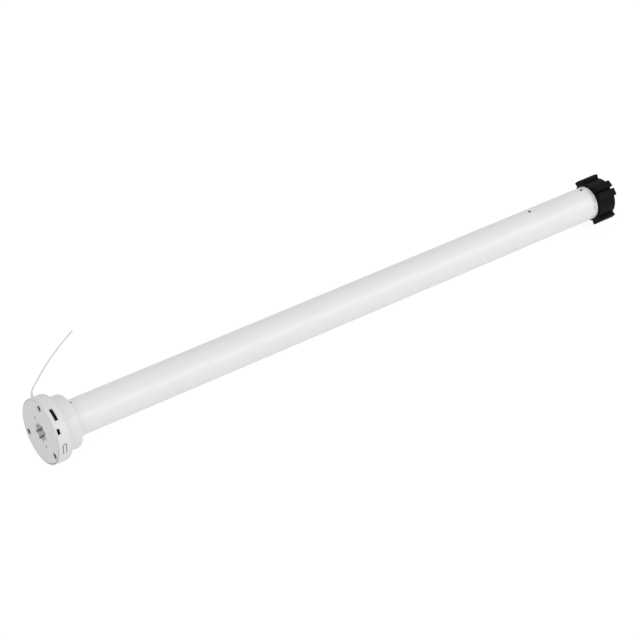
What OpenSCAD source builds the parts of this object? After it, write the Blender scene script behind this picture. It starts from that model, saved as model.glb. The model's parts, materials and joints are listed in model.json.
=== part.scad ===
// Tubular motor for a roller blind: a charging head with a star socket for the wall bracket,
// an idling crown, a slim metal tube and a ribbed drive wheel.
// The tube runs along +X from the face of the head, and +Z is up.

/* [Head] */
// Outer diameter of the head
head_d = 45.5; // [44:0.5:48]
// Axial length of the head
head_len = 10.4; // [10:0.1:11]
// Wall thickness of the head's rim
rim_wall = 1.2; // [1:0.1:1.4]
// Thickness of the front cover
cover_t = 1.8; // [1.5:0.1:1.9]
// Open seam round the front cover
cover_seam = 0.3; // [0.2:0.05:0.35]
// Width across flats of the square bracket pin that the star socket takes
star_flats = 9.2; // [8:0.1:9.6]
// Depth of the star socket
star_depth = 9; // [8:0.2:9.2]
// Angle of the charging port round the axis
port_angle = 31; // [29:1:33]
// Angle at the middle of the button tongue
button_angle = 94; // [92:1:96]
// Length of the button tongue along the rim
button_len = 7.3; // [6.5:0.1:8]
// Width of the button tongue
button_w = 1.7; // [1.5:0.1:2]

/* [Crown] */
// Outer diameter of the crown, which the roller tube slides over
crown_d = 37.2; // [35:0.1:38]
// Axial length of the crown
crown_len = 10.5; // [9.5:0.5:11]
// Radius of the rounding at the crown's far edge
crown_round = 2.5; // [1:0.5:3]

/* [Tube] */
// Outer diameter of the motor tube
tube_d = 25; // [24.8:0.1:25.2]
// Wall thickness of the motor tube
tube_wall = 0.8; // [0.7:0.05:0.85]

/* [Battery] */
// Diameter of one cell in its sleeve
cell_d = 18.4; // [18:0.1:18.6]
// Length of one cell
cell_len = 65; // [60:1:66]

/* [Gears] */
// Module of the gear teeth
gear_module = 0.4; // [0.38:0.01:0.4]
// Pressure angle of the gear teeth
pressure_angle = 25; // [24:1:26]
// Play at each tooth flank
flank_play = 0.03; // [0.02:0.01:0.04]

/* [Drive wheel] */
// Diameter of the wheel between its ribs
wheel_d = 28; // [27:0.5:29]
// Diameter over the wheel's ribs
rib_d = 34.2; // [32:0.2:35]
// Axial length of the wheel
wheel_len = 15; // [12:0.2:15.4]

/* [Antenna] */
// Diameter of the antenna wire
wire_d = 1; // [0.8:0.1:1.2]

/* [Hidden] */
$fn = 64;
cut = 0.5;          // how far a cutting shape runs past a face
slip = 0.02;        // gap between fixed pieces that seat in each other
ease = 0.1;         // gap round a piece that passes through a hole
gap = 0.2;          // gap between pieces that move past each other

// Shells of the head
head_r = head_d / 2;
rim_in = head_r - rim_wall;
rim_edge = 0.4;
rim_end = head_len - 1.4;
ring_r = head_r - 0.3;
ring_x = rim_end + 0.25;
seam_floor = ring_r - 0.3;
back_edge = 0.9;
back_t = 1.8;
floor_x = head_len - back_t;
lip_in = head_r - 0.65;
lip_bevel = 0.2;
cover_r = lip_in - cover_seam;
cover_edge = 0.3;
cover_shift = 0.75 * cover_seam;
cover_shift_turn = 300;
snap_turn = 60;
snap_w = 5.2;
snap_t = 1.4;
snap_ramp = 0.6;
window_w = 3.8;
window_len = 2;

// Star socket and the slots beside it
star_r = star_flats / 2;
star_turn = 20;
star_relief = 0.45;
socket_r = 8;
socket_end = head_len + 1.2;
socket_flange = 9.5;
socket_key_r = 8.9;
socket_key_w = 3;
socket_keys = [star_turn, star_turn + 180];
face_slot_turns = [-36, 144];
face_slot_at = 10;
face_slot_w = 1.4;
face_slot_len = 2.7;

// Cover screws and the posts that they bite into
cover_screw_turns = [0, 120, 240];
cover_screw_at = head_r - 4.15;
cover_boss_r = 2.85;
cover_boss_x = 4.3;
recess_r = 2.25;
recess_x = 2;
head_screw_r = 1;
head_screw_cap = 1.9;
head_screw_x = 0.5;
head_screw_end = floor_x + 0.8;
post_r = 2.6;
post_foot_r = 3.4;

// Charging board and port
board_x = 5.5;
board_t = 1;
board_end = board_x + board_t;
board_r = rim_in - 0.65;
port_x = 3.9;
port_w = 8.94;
port_h = 3.16;
port_lip = 0.95;
port_mouth = head_r - port_lip;
port_window = [9.1, 2.55];
port_len = 7.3;
port_wall = 0.3;
port_stop = 5;
port_tongue = [4.6, 6.7, 0.7];

// Setting button and the switch behind it
button_x = 4.25;
slit = 0.75;
root_gap = 0.05;
press_turn = button_angle - 6;
press_x = 4.3;
nub_r = 0.6;
nub_tip = rim_in - 1.25;
switch_face = nub_tip - 0.9;
switch_size = [3, 4.6];
switch_x = 3.4;
plunger_r = 0.55;
plunger_play = 0.05;
plunger_in = 0.7;
plunger_travel = 0.5;

// Antenna boot
boot_at = [3.2, 13.5];
boot_r = 0.8;
boot_foot = 16.4;
boot_top = 21.9;

// Supply leads, which run from the charging board along the battery to the control board
lead_r = 0.5;
lead_at = 10.3;
lead_turn = 200;
lead_turns = [lead_turn - 6, lead_turn + 6];
lead_slot_w = 6.8;
lead_rise = [[249, 0], [251.5, 0.1], [254, 0.3], [257, 0.6], [260, 0.9], [264, 1]];

// Plug of the head inside the tube
plug_r = tube_d / 2 - tube_wall - 0.04;
plug_in = 9.6;
plug_end = 31;

// Crown
crown_x = head_len + gap;
crown_end = crown_x + crown_len;
crown_r = crown_d / 2;
crown_bore = tube_d / 2 + 0.08;
crown_edge = 0.5;
sleeve_r = crown_bore + 1.5;
skin_in = crown_r - 3.2;
crown_web = 3;
crown_ribs = 8;
crown_rib_t = 1.4;
crown_rib_turn = 22;
panel_turns = [27.6, 207.6];
panel_w = 10.6;
panel_x = 2.7;
panel_in = 0.3;

// Tube and its screws
tube_r = tube_d / 2;
tube_in = tube_r - tube_wall;
tube_x = head_len + 0.05;
tube_end = 464;
screw_rows = [23.3, 410.7, 460.6];
screw_turns = [-4, 176];
screw_head_r = 1;
screw_shank_r = 0.75;
screw_head_in = tube_in + 0.05;
screw_head_out = tube_r + 0.4;
screw_tip = 10.5;
stake_turns = [78.5, 258.5];
stake_x = 463;
stake = [3.6, 0.9];

// Battery
cell_r = cell_d / 2;
cell_x = 46.5;
cell_gap = 1;
cell_step = cell_len + cell_gap;
cells_end = cell_x + 3 * cell_step;
cell_round = 0.8;
cell_button_r = 2.8;
tab_r = 3.4;
cradle_in = cell_r + 0.15;
cradle_out = 11.4;
cradle_x = cell_x - 2;
cradle_end = cells_end + 1;
cradle_cap = 1.4;
cradle_hole = 4;
cradle_window = [12, cell_len - 20];

// Control board in its tray
tray_x = 252;
tray_len = 86;
tray_wall = 1.2;
tray_brim = -1;
tray_vent = [8, 10];
tray_vents = [278, 298, 318];
rail = [4.4, 4.8];
rail_at = 9;
rail_under = 1.6;
pcb_w = 18;
pcb_t = 1.2;
pcb_top = -3;
pcb_under = pcb_top - pcb_t;
pcb_x = tray_x + 3;
pcb_len = tray_len - 6;
sensor = [4.4, 4, 3];
motor_lead_at = 5;

// Motor
shaft_r = 1;
shaft_x = 343;
shaft_play = 0.03;
magnet_r = 4.6;
magnet_x = 343.5;
magnet_len = 3;
end_cap_x = 349.5;
motor_lead_route = [[-4.8, 326], [-5.2, 332], [-6, 338], [-6, end_cap_x - slip]];
can_x = 352;
can_end = 400;
can_r = 11;
can_wall = 1;
can_in = can_r - can_wall - slip;
spigot_r = 4;
spigot_len = 2;
motor_bush_r = 3;
core_r = 6.6;
core_x = 366;
core_end = 388;
core_mid = (core_x + core_end) / 2;
poles = 5;
pole_slot = 1;
coil_w = 2.2;
coil_in = 2.7;
coil_out = 5.3;
coil_end_r = 5.6;
coil_end_len = 2.4;
field_in = 7.3;
comm_r = 2.6;
comm_x = 358;
comm_end = 361.5;
brush_x = (comm_x + comm_end) / 2;
brush = [2.4, 1.9];
brush_turns = [90, 270];
damper_x = can_x + 6;
damper_len = 12;
damper_groove = 1.6;
motor_screw_turns = [0, 180];
motor_screw_at = 8;
motor_screw_r = 1.2;
motor_screw_cap = 2.1;

// Gear train
base_x = can_end + 0.1;
base_end = 405;
sun_teeth = 12;
planet_teeth = 18;
ring_teeth = sun_teeth + 2 * planet_teeth;
planet_at = gear_module * (sun_teeth + planet_teeth) / 2;
planet_turns = [0, 120, 240];
addendum = 0.95 * gear_module;
dedendum = 1.2 * gear_module;
ring_tip = 0.9 * gear_module;
ring_root = 1.25 * gear_module;
side_play = 0.4;
stage_w = [5, 7, 10];
disc_t = [2.2, 2.4, 3.2];
disc_r = planet_at + 2.8;
pin_r = 1;
pin_play = 0.04;
first_x = base_end + 0.3;
second_x = first_x + stage_w[0] + 2 * side_play + disc_t[0];
third_x = second_x + stage_w[1] + 2 * side_play + disc_t[1];
stage_x = [first_x, second_x, third_x];
train_end = third_x + stage_w[2] + 2 * side_play + disc_t[2];
washer_t = 1;
washer_r = 8.6;

// Nose and output shaft
nose_x = train_end + washer_t + 2 * gap;
nose_end = 466.4;
nose_edge = 0.4;
flange_x = tube_end + 0.3;
flange_t = nose_end - flange_x;
nose_core_at = 9;
nose_core_r = 1.4;
nose_core_len = 10;
out_r = 4;
bush_r = 6.5;
bush_len = 7;
bush_play = 0.03;

// Drive wheel
wheel_x = nose_end + 0.4;
wheel_end = wheel_x + wheel_len;
wheel_mid = wheel_x + wheel_len / 2;
wheel_r = wheel_d / 2;
rib_r = rib_d / 2;
wheel_wall = 1.8;
web_t = 2.5;
hub_r = 7;
hub_end = wheel_end - 2.6;
spoke_turn = 7.5;
spoke_t = 1.6;
flat_half = 3;
ribs = [[-57, -24], [17, 59], [119, 150], [197, 239]];
rib_slots = [37.5, 217.5];
rib_slot_w = 1.8;
rib_slot_floor = 13.3;
wheel_screw_r = 1.5;
wheel_screw_cap = 2.8;
wheel_washer_r = 5.5;
wheel_washer_t = 0.8;

// Route of the antenna wire, along the tube and up: it leaves the boot upright and bows over the tube.
wire_y = boot_at[1];
wire_rise = [
    [3.2, 22.4], [3.35, 23], [3.7, 23.8], [4.3, 24.8], [5.2, 26.1], [6.4, 27.8], [7.9, 29.7], [9.65, 32],
    [11.6, 34.5], [13.7, 37], [15.95, 39.5], [18.4, 42], [21.05, 44.5], [23.9, 47], [26.9, 49.5], [30.05, 52],
    [33.3, 54.5], [36, 56.5]
];
wire_route = [for (p = wire_rise) [p[0], wire_y, p[1]]];

// Pieces are drawn with the tube along local Z and local X up, then laid along +X.
// A positive turn goes from the top toward the side with the button.
module on_axis() rotate([180, 0, 0]) rotate([0, 90, 0]) children();

module rod(r, x0, x1) translate([0, 0, x0]) cylinder(r = r, h = x1 - x0);

module pipe(r_out, r_in, x0, x1) difference() {
    rod(r_out, x0, x1);
    rod(r_in, x0 - cut, x1 + cut);
}

// Places children at a turn round the axis and a station along it, with local X pointing outward.
module outward(turn, x) rotate([0, 0, turn]) translate([0, 0, x]) children();

module radial_rod(r, r0, r1) translate([r0, 0, 0]) rotate([0, 90, 0]) cylinder(r = r, h = r1 - r0);

// Repeats children at each cover screw.
module at_cover_screws() for (turn = cover_screw_turns) outward(turn, 0) translate([cover_screw_at, 0, 0])
    children();

// Repeats children at each motor screw.
module at_motor_screws() for (turn = motor_screw_turns) outward(turn, 0) translate([motor_screw_at, 0, 0])
    children();

// A block from r0 to r1 outward, w wide round the rim and h long along the axis.
module radial_block(r0, r1, w, h) translate([r0, -w / 2, -h / 2]) cube([r1 - r0, w, h]);

// An opening with round ends, w wide round the rim and h high along the axis.
module radial_slot(r0, r1, w, h) {
    radial_block(r0, r1, w - h, h);
    for (side = [-1, 1]) translate([0, side * (w - h) / 2, 0]) radial_rod(h / 2, r0, r1);
}

// A hole with round ends through a face, at a distance from the axis.
module face_slot(at, w, len, x0, x1) {
    for (side = [-1, 1]) translate([at, side * (len - w) / 2, 0]) rod(w / 2, x0, x1);
    translate([at - w / 2, (w - len) / 2, x0]) cube([w, len - w, x1 - x0]);
}

// The cross recess of a screw head.
module cross(len, w, x0, x1) for (side = [0, 90])
    rotate([0, 0, side]) translate([-len / 2, -w / 2, x0]) cube([len, w, x1 - x0]);

// The outline of the button tongue, grown by a margin on its free edges.
module tongue_block(r0, r1, margin) {
    half = button_w / 2 + margin;
    round_y = -button_len / 2 + button_w / 2;
    translate([r0, round_y, -half]) cube([r1 - r0, button_len / 2 - round_y, 2 * half]);
    translate([0, round_y, 0]) radial_rod(half, r0, r1);
}

// Two squares an eighth of a turn apart make the star, and each point is relieved for a corner of the pin.
module star(half, x0, x1) {
    for (turn = [0, 45]) rotate([0, 0, star_turn + turn + 45])
        translate([-half, -half, x0]) cube([2 * half, 2 * half, x1 - x0]);
    for (turn = [0 : 45 : 315]) rotate([0, 0, star_turn + turn]) translate([half * sqrt(2), 0, 0])
        rod(star_relief, x0, x1, $fn = 16);
}

module sector(a0, a1, r, x0, x1) intersection() {
    rod(r, x0, x1);
    translate([0, 0, x0 - cut]) linear_extrude(x1 - x0 + 2 * cut)
        polygon([[0, 0], 2 * r * [cos(a0), sin(a0)], 2 * r * [cos(a1), sin(a1)]]);
}

// Quarter-round points from angle a0 to a1 about a centre, for turned profiles.
function arc(c, r, a0, a1, steps = 6) =
    [for (i = [0 : steps]) let (a = a0 + (a1 - a0) * i / steps) c + r * [cos(a), sin(a)]];

// Involute gear outline. The half width of a tooth follows the involute above the base circle.
function involute(a) = tan(a) * 180 / PI - a;
function half_tooth(teeth, r, grow) =
    let (pitch = gear_module * teeth / 2)
    let (base = pitch * cos(pressure_angle))
    let (slope = acos(min(1, base / r)))
    90 / teeth + involute(pressure_angle) - involute(slope) + grow / pitch * 180 / PI;
function gear_outline(teeth, radii, grow) =
    let (n = len(radii))
    [for (i = [0 : teeth - 1], k = [0 : 2 * n - 1])
        let (side = k < n ? -1 : 1)
        let (r = radii[k < n ? k : 2 * n - 1 - k])
        let (a = 360 * i / teeth + side * half_tooth(teeth, r, grow))
        r * [cos(a), sin(a)]];
function tooth_radii(teeth, below, above) =
    let (pitch = gear_module * teeth / 2)
    [pitch - below, pitch - below / 3, pitch + above / 3, pitch + above];

module spur(teeth, bore, x0, x1) difference() {
    translate([0, 0, x0]) linear_extrude(x1 - x0)
        polygon(gear_outline(teeth, tooth_radii(teeth, dedendum, addendum), -flank_play));
    rod(bore, x0 - cut, x1 + cut);
}

// A round tube swept along a route, with one ring of points at each route point.
function along(route, i) =
    let (d = route[min(i + 1, len(route) - 1)] - route[max(i - 1, 0)])
    d / norm(d);
module swept(route, r, side, sides = 8) {
    rings = len(route);
    points = [for (i = [0 : rings - 1], k = [0 : sides - 1])
        let (u = side / norm(side))
        let (v = cross(along(route, i), u))
        route[i] + r * (cos(360 * k / sides) * u + sin(360 * k / sides) * v)];
    walls = [for (i = [0 : rings - 2], k = [0 : sides - 1], half = [0, 1])
        let (a = i * sides + k)
        let (b = i * sides + (k + 1) % sides)
        half == 0 ? [a, a + sides, b] : [b, a + sides, b + sides]];
    near = [for (k = [1 : sides - 2]) [0, k, k + 1]];
    last = (rings - 1) * sides;
    far = [for (k = [1 : sides - 2]) [last, last + k + 1, last + k]];
    polyhedron(points, concat(walls, near, far));
}

// A smooth curve through the route's points.
function between(a, b, c, d, t) =
    0.5 * (2 * b + (c - a) * t + (2 * a - 5 * b + 4 * c - d) * t * t + (3 * b - a - 3 * c + d) * t * t * t);
function smooth(route, steps) =
    let (n = len(route))
    [for (i = [0 : n - 2], s = [0 : steps - 1])
        between(route[max(i - 1, 0)], route[i], route[i + 1], route[min(i + 2, n - 1)], s / steps),
        route[n - 1]];

// The cover sits a little off centre, so its seam is widest on the button's side.
module front_cover() color("gainsboro") on_axis() difference() {
    union() {
        rotate([0, 0, cover_shift_turn]) translate([cover_shift, 0, 0]) rotate_extrude() polygon(concat(
            [[0, 0]],
            arc([cover_r - cover_edge, cover_edge], cover_edge, -90, 0),
            [[cover_r, cover_t], [0, cover_t]]
        ));
        intersection() {
            outward(snap_turn, snap_t / 2) radial_block(cover_r - 1, head_r, snap_w - 2 * gap, snap_t);
            cylinder(h = snap_t, r1 = head_r - ease, r2 = head_r - snap_ramp);
        }
        at_cover_screws() rod(cover_boss_r, cover_t / 2, cover_boss_x);
    }
    outward(snap_turn, snap_t + cover_t / 2) radial_block(rim_in - 1, head_r, snap_w, cover_t);
    star(star_r + ease, -cut, cover_t + cut);
    at_cover_screws() {
        rod(recess_r, -cut, recess_x);
        rod(head_screw_r + ease, 0, cover_boss_x + cut);
    }
    for (turn = face_slot_turns) rotate([0, 0, turn])
        face_slot(face_slot_at, face_slot_w, face_slot_len, -cut, cover_t + cut);
}

module head_housing() color("whitesmoke") on_axis() difference() {
    union() {
        rotate_extrude() polygon(concat(
            [[rim_in, cover_t], [lip_in, cover_t], [lip_in, lip_bevel], [lip_in + lip_bevel, 0]],
            arc([head_r - rim_edge, rim_edge], rim_edge, -90, 0),
            [[head_r, rim_end], [seam_floor, rim_end], [seam_floor, ring_x], [ring_r, ring_x]],
            arc([ring_r - back_edge, head_len - back_edge], back_edge, 0, 90),
            [[socket_r + slip, head_len], [socket_r + slip, floor_x], [rim_in, floor_x]]
        ));
        pipe(plug_r, plug_in, head_len - cut, plug_end);
        at_cover_screws() {
            rod(post_r, cover_boss_x + slip, floor_x + cut);
            rod(post_foot_r, board_end, floor_x + cut);
        }
    }
    socket_key_blocks(slip, cut);
    at_cover_screws() rod(head_screw_r + slip, cover_boss_x - cut, head_screw_end + gap);
    outward(port_angle, port_x) {
        radial_slot(rim_in - 2, port_mouth + slip, port_w + gap, port_h + gap);
        radial_block(port_mouth - slip, head_r + cut, port_window[0], port_window[1]);
    }
    outward(snap_turn, (snap_t - cut) / 2) radial_block(rim_in - cut, head_r + cut, snap_w, snap_t + cut);
    outward(snap_turn, snap_t + window_len / 2)
        radial_block(rim_in - cut, head_r + cut, window_w, window_len);
    outward(button_angle, button_x) tongue_block(rim_in - cut, head_r + cut, slit);
    boot_rod(boot_r + slip, boot_foot - cut, boot_top + cut);
    for (turn = lead_turns) outward(turn, 0) translate([lead_at, 0, 0])
        rod(lead_r + ease, floor_x - cut, plug_end + cut);
    for (turn = screw_turns) outward(turn, screw_rows[0])
        radial_rod(screw_shank_r + slip, plug_in - cut, tube_r);
}

// The keys that stop the socket block turning in the hub, grown by a side and an end margin.
module socket_key_blocks(side, end) for (turn = socket_keys) outward(turn, (floor_x + head_len) / 2)
    radial_block(socket_r - 1, socket_key_r + side, socket_key_w + 2 * side, back_t + 2 * end);

// The block takes the pin of the bracket, and its flange sits behind the housing's back wall.
module bracket_socket() color("dimgray") on_axis() difference() {
    union() {
        rod(socket_r, cover_t + root_gap, socket_end);
        rod(socket_flange, head_len + slip, socket_end);
        socket_key_blocks(0, 0);
    }
    star(star_r, 0, star_depth);
}

// The tongue flexes at its root and its nub pushes the switch behind it.
module setting_button() color("whitesmoke") on_axis() {
    intersection() {
        pipe(head_r, rim_in, 0, head_len);
        outward(button_angle, button_x) difference() {
            tongue_block(rim_in - 1, head_r + cut, 0);
            translate([0, button_len / 2 - root_gap, -button_w]) cube([head_d, 1, 2 * button_w]);
        }
    }
    outward(press_turn, press_x) radial_rod(nub_r, nub_tip, (rim_in + head_r) / 2);
}

module tact_switch() color("dimgray") on_axis() outward(press_turn, 0) difference() {
    translate([switch_face - switch_size[0], -switch_size[1] / 2, switch_x])
        cube([switch_size[0], switch_size[1], board_x - slip - switch_x]);
    translate([0, 0, press_x])
        radial_rod(plunger_r + plunger_play, switch_face - plunger_in - plunger_travel, switch_face + cut);
}

module switch_plunger() color("white") on_axis() outward(press_turn, press_x)
    radial_rod(plunger_r, switch_face - plunger_in, nub_tip - plunger_play);

module charge_board() color("black") on_axis() difference() {
    pipe(board_r, socket_r + 3 * gap, board_x, board_end);
    at_cover_screws() rod(post_r + gap, 0, head_len);
    outward(button_angle, board_x) radial_block(switch_face + gap, head_r, button_len + 2, 4 * board_t);
}

module usb_shell() color("silver") on_axis() outward(port_angle, port_x) difference() {
    inner = port_mouth - port_len;
    radial_slot(inner, port_mouth, port_w, port_h);
    radial_slot(inner - cut, port_mouth + cut, port_w - 2 * port_wall, port_h - 2 * port_wall);
}

module usb_tongue() color([0.1, 0.1, 0.1]) on_axis() outward(port_angle, port_x) {
    inset = port_wall + slip;
    stop = port_mouth - port_stop;
    radial_slot(port_mouth - port_len, stop, port_w - 2 * inset, port_h - 2 * inset);
    radial_block(stop - gap, stop - gap + port_tongue[0], port_tongue[1], port_tongue[2]);
}

// The boot stands upright in the rim.
module boot_rod(r, z0, z1) translate([0, -boot_at[1], boot_at[0]]) radial_rod(r, z0, z1);

module antenna_boot() color("whitesmoke") on_axis() boot_rod(boot_r, boot_foot, boot_top);

module antenna_wire() color("white")
    swept(concat([[boot_at[0], wire_y, boot_top]], smooth(wire_route, 2)), wire_d / 2, [0, 1, 0]);

module cover_screws() color("dimgray") on_axis() at_cover_screws() difference() {
    union() {
        rod(head_screw_cap, head_screw_x, recess_x);
        rod(head_screw_r, recess_x - gap, head_screw_end);
    }
    rotate([0, 0, 45]) cross(2.4, 0.5, head_screw_x - cut, head_screw_x + 0.7);
}

// A moulded ring that turns on the tube: an outer skin and an inner sleeve joined by a web and ribs.
module crown() color("gainsboro") on_axis() difference() {
    union() {
        rotate_extrude() polygon(concat(
            [[crown_bore, crown_x]],
            arc([crown_r - crown_edge, crown_x + crown_edge], crown_edge, -90, 0),
            arc([crown_r - crown_round, crown_end - crown_round], crown_round, 0, 90),
            [[skin_in, crown_end], [skin_in, crown_x + crown_web], [sleeve_r, crown_x + crown_web],
             [sleeve_r, crown_end], [crown_bore, crown_end]]
        ));
        for (i = [0 : crown_ribs - 1])
            outward(360 * i / crown_ribs + crown_rib_turn, (crown_x + crown_end) / 2)
                radial_block(sleeve_r - cut, skin_in + cut, crown_rib_t, crown_len - 2);
    }
    for (turn = panel_turns) outward(turn, crown_x + panel_x + crown_len / 2) difference() {
        radial_block(crown_r - 2, crown_r + 1, panel_w, crown_len);
        rod(crown_r - panel_in, -crown_len, crown_len);
    }
}

module motor_tube() color("gainsboro") on_axis() difference() {
    pipe(tube_r, tube_in, tube_x, tube_end);
    for (x = screw_rows, turn = screw_turns) outward(turn, x)
        radial_rod(screw_head_r + ease / 2, tube_in - cut, tube_r + cut);
    for (turn = stake_turns) outward(turn, stake_x)
        radial_slot(tube_in - cut, tube_r + cut, stake[0], stake[1]);
}

module tube_screws() color("dimgray") on_axis() for (x = screw_rows, turn = screw_turns)
    outward(turn, x) difference() {
        union() {
            radial_rod(screw_head_r, screw_head_in, screw_head_out);
            radial_rod(screw_shank_r, screw_tip, screw_head_in + gap);
        }
        translate([screw_head_out, 0, 0]) rotate([0, 90, 0]) cross(1.3, 0.35, -0.6, cut);
    }

// An open cradle: a sleeve with a slot for the leads and a window beside each cell.
module battery_cradle() color("black") on_axis() difference() {
    union() {
        pipe(cradle_out, cradle_in, cradle_x, cradle_end);
        for (x = [cradle_x, cradle_end - cradle_cap]) rod(cradle_in + gap, x, x + cradle_cap);
    }
    outward(lead_turn, (cradle_x + cradle_end) / 2)
        radial_block(cell_r - 0.8, tube_r, lead_slot_w, cradle_end - cradle_x + 2 * cut);
    for (i = [0 : 2]) translate([cell_r - 2, -cradle_window[0] / 2, cell_x + i * cell_step + 10])
        cube([tube_r, cradle_window[0], cradle_window[1]]);
    for (x = [cradle_x, cradle_end - cradle_cap]) rod(cradle_hole, x - cut, x + cradle_cap + cut);
}

module battery_cell(i) color("steelblue") on_axis() translate([0, 0, cell_x + i * cell_step])
    rotate_extrude() polygon(concat(
        [[0, 0]],
        arc([cell_r - cell_round, cell_round], cell_round, -90, 0),
        arc([cell_r - cell_round, cell_len - 2 * cell_round], cell_round, 0, 90),
        [[cell_button_r, cell_len - cell_round], [cell_button_r, cell_len], [0, cell_len]]
    ));

// Nickel links between the cells and at both ends.
module cell_tabs() color("silver") on_axis() for (i = [0 : 3])
    rod(tab_r, cell_x + i * cell_step - cell_gap + slip, cell_x + i * cell_step - slip);

// The leads run in the cradle's slot and rise to the underside of the control board.
module supply_leads() color("crimson") on_axis() for (turn = lead_turns) {
    low = lead_at * cos(turn);
    across = lead_at * sin(turn);
    high = pcb_under - lead_r - ease;
    rise = [for (p = lead_rise) [low + p[1] * (high - low), across, p[0]]];
    swept(concat([[low, across, board_end + slip]], rise), lead_r - slip, [0, 1, 0]);
}

module board_tray() color("dimgray") on_axis() {
    difference() {
        intersection() {
            pipe(cradle_out, cradle_out - tray_wall, tray_x, tray_x + tray_len);
            translate([-tube_r, -tube_r, tray_x]) cube([tube_r + tray_brim, tube_d, tray_len]);
        }
        outward(lead_turn, tray_x + 7) radial_block(cell_r - 0.8, tube_r, lead_slot_w, 16);
        for (x = tray_vents) translate([-tube_r, -tray_vent[0] / 2, x])
            cube([tube_r, tray_vent[0], tray_vent[1]]);
    }
    for (side = [-1, 1]) difference() {
        intersection() {
            rod(cradle_out - 1, tray_x, tray_x + tray_len);
            translate([pcb_under - rail_under, side * rail_at - rail[1] / 2, tray_x])
                cube([rail[0], rail[1], tray_len]);
        }
        translate([pcb_under - ease, -pcb_w / 2 - ease, pcb_x - ease])
            cube([tube_r, pcb_w + 2 * ease, pcb_len + 2 * ease]);
    }
}

module control_board() color("darkgreen") on_axis() translate([pcb_under, -pcb_w / 2, pcb_x])
    cube([pcb_t, pcb_w, pcb_len]);

// The radio module, motor driver, choke and capacitors that stand on the control board.
module board_components() color([0.15, 0.15, 0.15]) on_axis() translate([pcb_top, 0, pcb_x]) {
    translate([0, -7, 4]) cube([2.4, 14, 18]);
    translate([0, -4, 30]) cube([1.6, 8, 8]);
    translate([0, -6, 44]) cube([3, 12, 10]);
    for (side = [-1, 1]) translate([0, side * 5, 62]) rotate([0, 90, 0]) cylinder(r = 3.1, h = 6);
}

module hall_sensor() color("black") on_axis()
    translate([pcb_top, -sensor[1] / 2, pcb_x + pcb_len - sensor[2] - 1]) cube(sensor);

// Leads from the control board to the two motor terminals.
module motor_leads() color("gold") on_axis() for (side = [-1, 1])
    swept([for (p = motor_lead_route) [p[0], side * motor_lead_at, p[1]]], lead_r - slip, [0, 1, 0]);

module motor_can() color("silver") on_axis() difference() {
    union() {
        rod(can_r, can_x, can_end);
        rod(spigot_r, can_end - cut, can_end + spigot_len);
    }
    rod(can_r - can_wall, can_x - cut, can_end - can_wall);
    rod(motor_bush_r + slip, can_end - 2 * can_wall, can_end + spigot_len + cut);
    at_motor_screws() rod(motor_screw_r + slip, can_end - 2 * can_wall, can_end + cut);
}

// The end cap carries the rear bush, and its skirt holds the two brushes.
module motor_end_cap() color([0.2, 0.2, 0.2]) on_axis() difference() {
    union() {
        rod(can_r - 0.05, end_cap_x, can_x - slip);
        pipe(can_in, 7, can_x - cut, comm_end);
    }
    rod(motor_bush_r + slip, end_cap_x - cut, can_x + cut);
    for (turn = brush_turns) outward(turn, brush_x) radial_block(6, can_r, brush[0] + ease, brush[1] + ease);
}

// Two curved magnets, each with its edges drawn in toward a point near the axis.
module field_magnets() color("dimgray") on_axis() for (turn = [0, 180]) intersection() {
    pipe(can_in, field_in, core_x - 3, core_end + 3);
    translate([0, 0, core_x - 4]) rotate([0, 0, turn]) linear_extrude(core_end - core_x + 8)
        polygon([[1.5, 0], [9, -20], [30, 0], [9, 20]]);
}

module brushes() color([0.25, 0.2, 0.15]) on_axis() for (turn = brush_turns)
    outward(turn, brush_x) radial_block(comm_r + 0.06, can_in - 0.4, brush[0], brush[1]);

module motor_bushes() color("darkgoldenrod") on_axis() {
    pipe(motor_bush_r, shaft_r + shaft_play, end_cap_x, can_x - ease);
    pipe(motor_bush_r, shaft_r + shaft_play, can_end - can_wall - gap, can_end + spigot_len);
}

// A rubber sleeve that keeps the motor's hum off the tube.
module motor_damper() color([0.12, 0.12, 0.12]) on_axis() difference() {
    pipe(tube_in - slip, can_r + slip, damper_x, damper_x + damper_len);
    for (i = [0 : 2]) translate([0, 0, damper_x + 2 * damper_groove * i + 2])
        pipe(tube_r, tube_in - 0.3, 0, damper_groove);
}

module rotor_shaft() color("silver") on_axis() rod(shaft_r, shaft_x, first_x + side_play + stage_w[0]);

// Five poles with a narrow slot between each pair.
module armature_core() color("slategray") on_axis() difference() {
    pipe(core_r, shaft_r, core_x, core_end);
    for (i = [0 : poles - 1]) outward(360 * i / poles, core_mid) {
        radial_block(coil_out, core_r + cut, pole_slot, core_end - core_x + 2);
        radial_block(coil_in - ease, coil_out + ease, coil_w + 2 * ease, core_end - core_x + 2);
    }
}

module armature_windings() color("chocolate") on_axis() {
    for (x = [core_x - coil_end_len, core_end]) pipe(coil_end_r, shaft_r + 0.8, x, x + coil_end_len);
    for (i = [0 : poles - 1]) outward(360 * i / poles, core_mid)
        radial_block(coil_in, coil_out, coil_w, core_end - core_x + 1);
}

module commutator() color("peru") on_axis() difference() {
    pipe(comm_r, shaft_r, comm_x, comm_end);
    for (i = [0 : poles - 1]) outward(360 * (i + 0.5) / poles, brush_x)
        radial_block(comm_r - 0.5, comm_r + cut, 0.4, comm_end - comm_x + 1);
}

module encoder_magnet() color("black") on_axis() pipe(magnet_r, shaft_r, magnet_x, magnet_x + magnet_len);

module sun_pinion() color("goldenrod") on_axis()
    spur(sun_teeth, shaft_r, first_x + gap, first_x + side_play + stage_w[0]);

module gearbox_base() color("gray") on_axis() difference() {
    rod(plug_r, base_x, base_end);
    rod(spigot_r + gap, base_x - cut, base_end + cut);
    at_motor_screws() {
        rod(motor_screw_r + ease, base_x - cut, base_end);
        rod(motor_screw_cap + ease, base_end - 2.2, base_end + cut);
    }
}

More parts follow.
